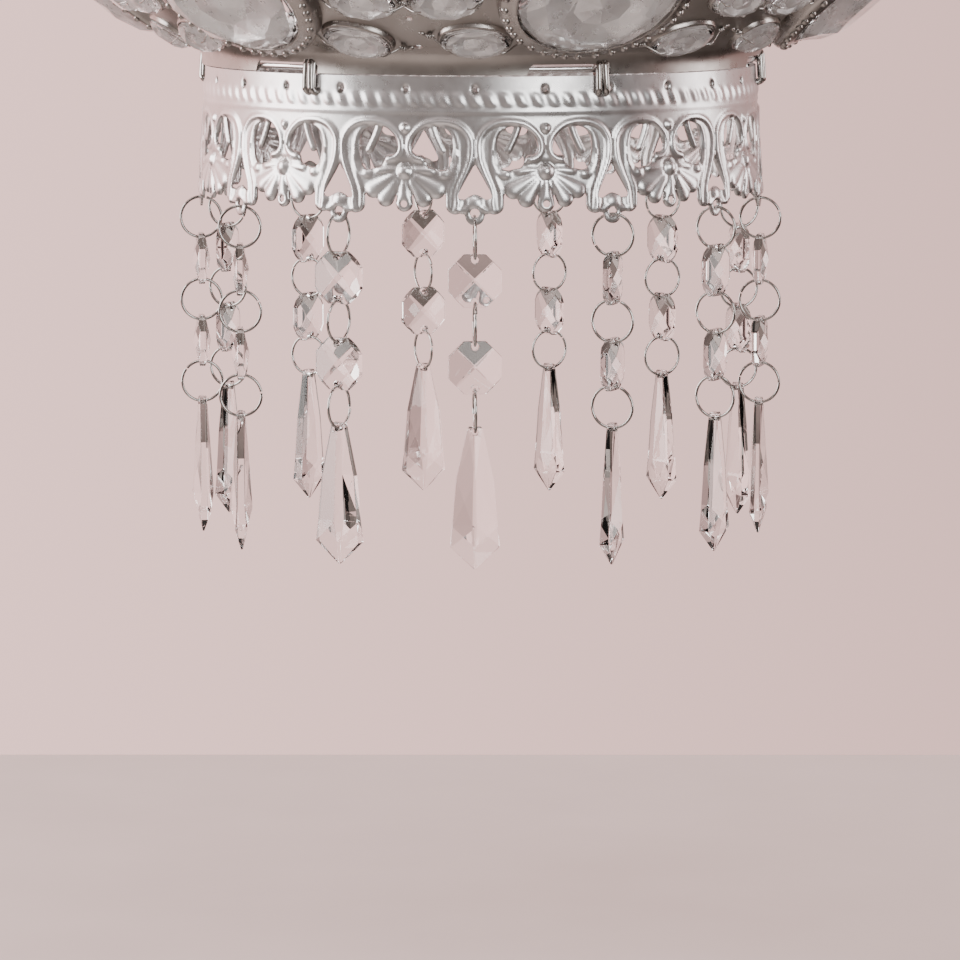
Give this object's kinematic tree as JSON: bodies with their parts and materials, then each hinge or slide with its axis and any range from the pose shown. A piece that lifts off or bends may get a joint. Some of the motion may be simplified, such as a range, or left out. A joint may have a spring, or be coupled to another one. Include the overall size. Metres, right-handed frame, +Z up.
{
  "type": "crystal chandelier shade",
  "caption": "Jewelled metal bowl shade with a pierced gallery band and a fringe of swinging crystal strings; hangs from a lampholder.",
  "frame": {"origin": "centre of the lampholder ring that the shade hangs from, at mid thickness", "axes": "+Z up along the lampholder; -Y is the front; the strings hang down -Z"},
  "size_m": [0.2718, 0.2718, 0.2063],
  "materials": {
    "frame_metal": "polished plated steel",
    "band_silver": "bright stamped silver, satin on the flats",
    "pewter_sheet": "satin taupe plated sheet",
    "bezel_metal": "satin stamped metal",
    "bright_wire": "polished nickel wire",
    "cut_stone": "polished facets",
    "clear_crystal": "polished facets"
  },
  "bodies": {
    "shade": {"shade_ring": "frame_metal", "spider_arms": "frame_metal", "arm_rivets": "frame_metal", "top_rim": "frame_metal", "bowl_shell": "pewter_sheet", "neck_ring": "frame_metal", "large_bezels": "bezel_metal", "large_crystals": "cut_stone", "stone_cups": "bezel_metal", "small_crystals": "cut_stone", "stone_wires": "bright_wire", "gallery_band": "band_silver", "band_ties": "bright_wire"},
    "string_01": {"rings_01": "bright_wire", "octagons_01": "clear_crystal"},
    "drop_01": {"drop_01": "clear_crystal"},
    "string_02": {"rings_02": "bright_wire", "octagons_02": "clear_crystal"},
    "drop_02": {"drop_02": "clear_crystal"},
    "string_03": {"rings_03": "bright_wire", "octagons_03": "clear_crystal"},
    "drop_03": {"drop_03": "clear_crystal"},
    "string_04": {"rings_04": "bright_wire", "octagons_04": "clear_crystal"},
    "drop_04": {"drop_04": "clear_crystal"},
    "string_05": {"rings_05": "bright_wire", "octagons_05": "clear_crystal"},
    "drop_05": {"drop_05": "clear_crystal"},
    "string_06": {"rings_06": "bright_wire", "octagons_06": "clear_crystal"},
    "drop_06": {"drop_06": "clear_crystal"},
    "string_07": {"rings_07": "bright_wire", "octagons_07": "clear_crystal"},
    "drop_07": {"drop_07": "clear_crystal"},
    "string_08": {"rings_08": "bright_wire", "octagons_08": "clear_crystal"},
    "drop_08": {"drop_08": "clear_crystal"},
    "string_09": {"rings_09": "bright_wire", "octagons_09": "clear_crystal"},
    "drop_09": {"drop_09": "clear_crystal"},
    "string_10": {"rings_10": "bright_wire", "octagons_10": "clear_crystal"},
    "drop_10": {"drop_10": "clear_crystal"},
    "string_11": {"rings_11": "bright_wire", "octagons_11": "clear_crystal"},
    "drop_11": {"drop_11": "clear_crystal"},
    "string_12": {"rings_12": "bright_wire", "octagons_12": "clear_crystal"},
    "drop_12": {"drop_12": "clear_crystal"},
    "string_13": {"rings_13": "bright_wire", "octagons_13": "clear_crystal"},
    "drop_13": {"drop_13": "clear_crystal"}
  },
  "joints": [
    {"name": "string_01_swing", "type": "hinge", "parent": "shade", "child": "string_01", "pos_m": [-0.00163, -0.07798, -0.11592], "axis": [-0.9988, -0.0488, 0], "range_deg": [-12, 45]},
    {"name": "drop_01_swing", "type": "hinge", "parent": "string_01", "child": "drop_01", "pos_m": [-0.00163, -0.07798, -0.16724], "axis": [0.0488, -0.9988, 0], "range_deg": [-20, 20]},
    {"name": "string_02_swing", "type": "hinge", "parent": "shade", "child": "string_02", "pos_m": [0.03479, -0.06981, -0.11592], "axis": [-0.3174, -0.9483, 0], "range_deg": [-12, 45]},
    {"name": "drop_02_swing", "type": "hinge", "parent": "string_02", "child": "drop_02", "pos_m": [0.03479, -0.06981, -0.16724], "axis": [0.9483, -0.3174, 0], "range_deg": [-20, 20]},
    {"name": "string_03_swing", "type": "hinge", "parent": "shade", "child": "string_03", "pos_m": [0.06325, -0.04564, -0.11592], "axis": [-0.4666, -0.8845, 0], "range_deg": [-12, 45]},
    {"name": "drop_03_swing", "type": "hinge", "parent": "string_03", "child": "drop_03", "pos_m": [0.06325, -0.04564, -0.16724], "axis": [0.8845, -0.4666, 0], "range_deg": [-20, 20]},
    {"name": "string_04_swing", "type": "hinge", "parent": "shade", "child": "string_04", "pos_m": [0.07722, -0.01102, -0.11592], "axis": [-0.21, -0.9777, 0], "range_deg": [-12, 45]},
    {"name": "drop_04_swing", "type": "hinge", "parent": "string_04", "child": "drop_04", "pos_m": [0.07722, -0.01102, -0.16724], "axis": [0.9777, -0.21, 0], "range_deg": [-20, 20]},
    {"name": "string_05_swing", "type": "hinge", "parent": "shade", "child": "string_05", "pos_m": [0.07349, 0.02613, -0.11592], "axis": [0.3349, -0.9422, 0], "range_deg": [-12, 45]},
    {"name": "drop_05_swing", "type": "hinge", "parent": "string_05", "child": "drop_05", "pos_m": [0.07349, 0.02613, -0.16724], "axis": [0.9422, 0.3349, 0], "range_deg": [-20, 20]},
    {"name": "string_06_swing", "type": "hinge", "parent": "shade", "child": "string_06", "pos_m": [0.05293, 0.05729, -0.11592], "axis": [0.4581, -0.8889, 0], "range_deg": [-12, 45]},
    {"name": "drop_06_swing", "type": "hinge", "parent": "string_06", "child": "drop_06", "pos_m": [0.05293, 0.05729, -0.16724], "axis": [0.8889, 0.4581, 0], "range_deg": [-20, 20]},
    {"name": "string_07_swing", "type": "hinge", "parent": "shade", "child": "string_07", "pos_m": [0.02025, 0.07533, -0.11592], "axis": [0.4993, -0.8664, 0], "range_deg": [-12, 45]},
    {"name": "drop_07_swing", "type": "hinge", "parent": "string_07", "child": "drop_07", "pos_m": [0.02025, 0.07533, -0.16724], "axis": [0.8664, 0.4993, 0], "range_deg": [-20, 20]},
    {"name": "string_08_swing", "type": "hinge", "parent": "shade", "child": "string_08", "pos_m": [-0.01708, 0.07611, -0.11592], "axis": [0.8858, 0.464, 0], "range_deg": [-12, 45]},
    {"name": "drop_08_swing", "type": "hinge", "parent": "string_08", "child": "drop_08", "pos_m": [-0.01708, 0.07611, -0.16724], "axis": [-0.464, 0.8858, 0], "range_deg": [-20, 20]},
    {"name": "string_09_swing", "type": "hinge", "parent": "shade", "child": "string_09", "pos_m": [-0.05049, 0.05945, -0.11592], "axis": [0.4949, 0.869, 0], "range_deg": [-12, 45]},
    {"name": "drop_09_swing", "type": "hinge", "parent": "string_09", "child": "drop_09", "pos_m": [-0.05049, 0.05945, -0.16724], "axis": [-0.869, 0.4949, 0], "range_deg": [-20, 20]},
    {"name": "string_10_swing", "type": "hinge", "parent": "shade", "child": "string_10", "pos_m": [-0.07234, 0.02918, -0.11592], "axis": [0.3741, 0.9274, 0], "range_deg": [-12, 45]},
    {"name": "drop_10_swing", "type": "hinge", "parent": "string_10", "child": "drop_10", "pos_m": [-0.07234, 0.02918, -0.16724], "axis": [-0.9274, 0.3741, 0], "range_deg": [-20, 20]},
    {"name": "string_11_swing", "type": "hinge", "parent": "shade", "child": "string_11", "pos_m": [-0.07761, -0.00778, -0.11592], "axis": [-0.1517, 0.9884, 0], "range_deg": [-12, 45]},
    {"name": "drop_11_swing", "type": "hinge", "parent": "string_11", "child": "drop_11", "pos_m": [-0.07761, -0.00778, -0.16724], "axis": [-0.9884, -0.1517, 0], "range_deg": [-20, 20]},
    {"name": "string_12_swing", "type": "hinge", "parent": "shade", "child": "string_12", "pos_m": [-0.06511, -0.04296, -0.11592], "axis": [-0.0072, 1, 0], "range_deg": [-12, 45]},
    {"name": "drop_12_swing", "type": "hinge", "parent": "string_12", "child": "drop_12", "pos_m": [-0.06511, -0.04296, -0.16724], "axis": [-1, -0.0072, 0], "range_deg": [-20, 20]},
    {"name": "string_13_swing", "type": "hinge", "parent": "shade", "child": "string_13", "pos_m": [-0.03769, -0.06829, -0.11592], "axis": [-0.8755, 0.4832, 0], "range_deg": [-12, 45]},
    {"name": "drop_13_swing", "type": "hinge", "parent": "string_13", "child": "drop_13", "pos_m": [-0.03769, -0.06829, -0.16724], "axis": [-0.4832, -0.8755, 0], "range_deg": [-20, 20]}
  ]
}
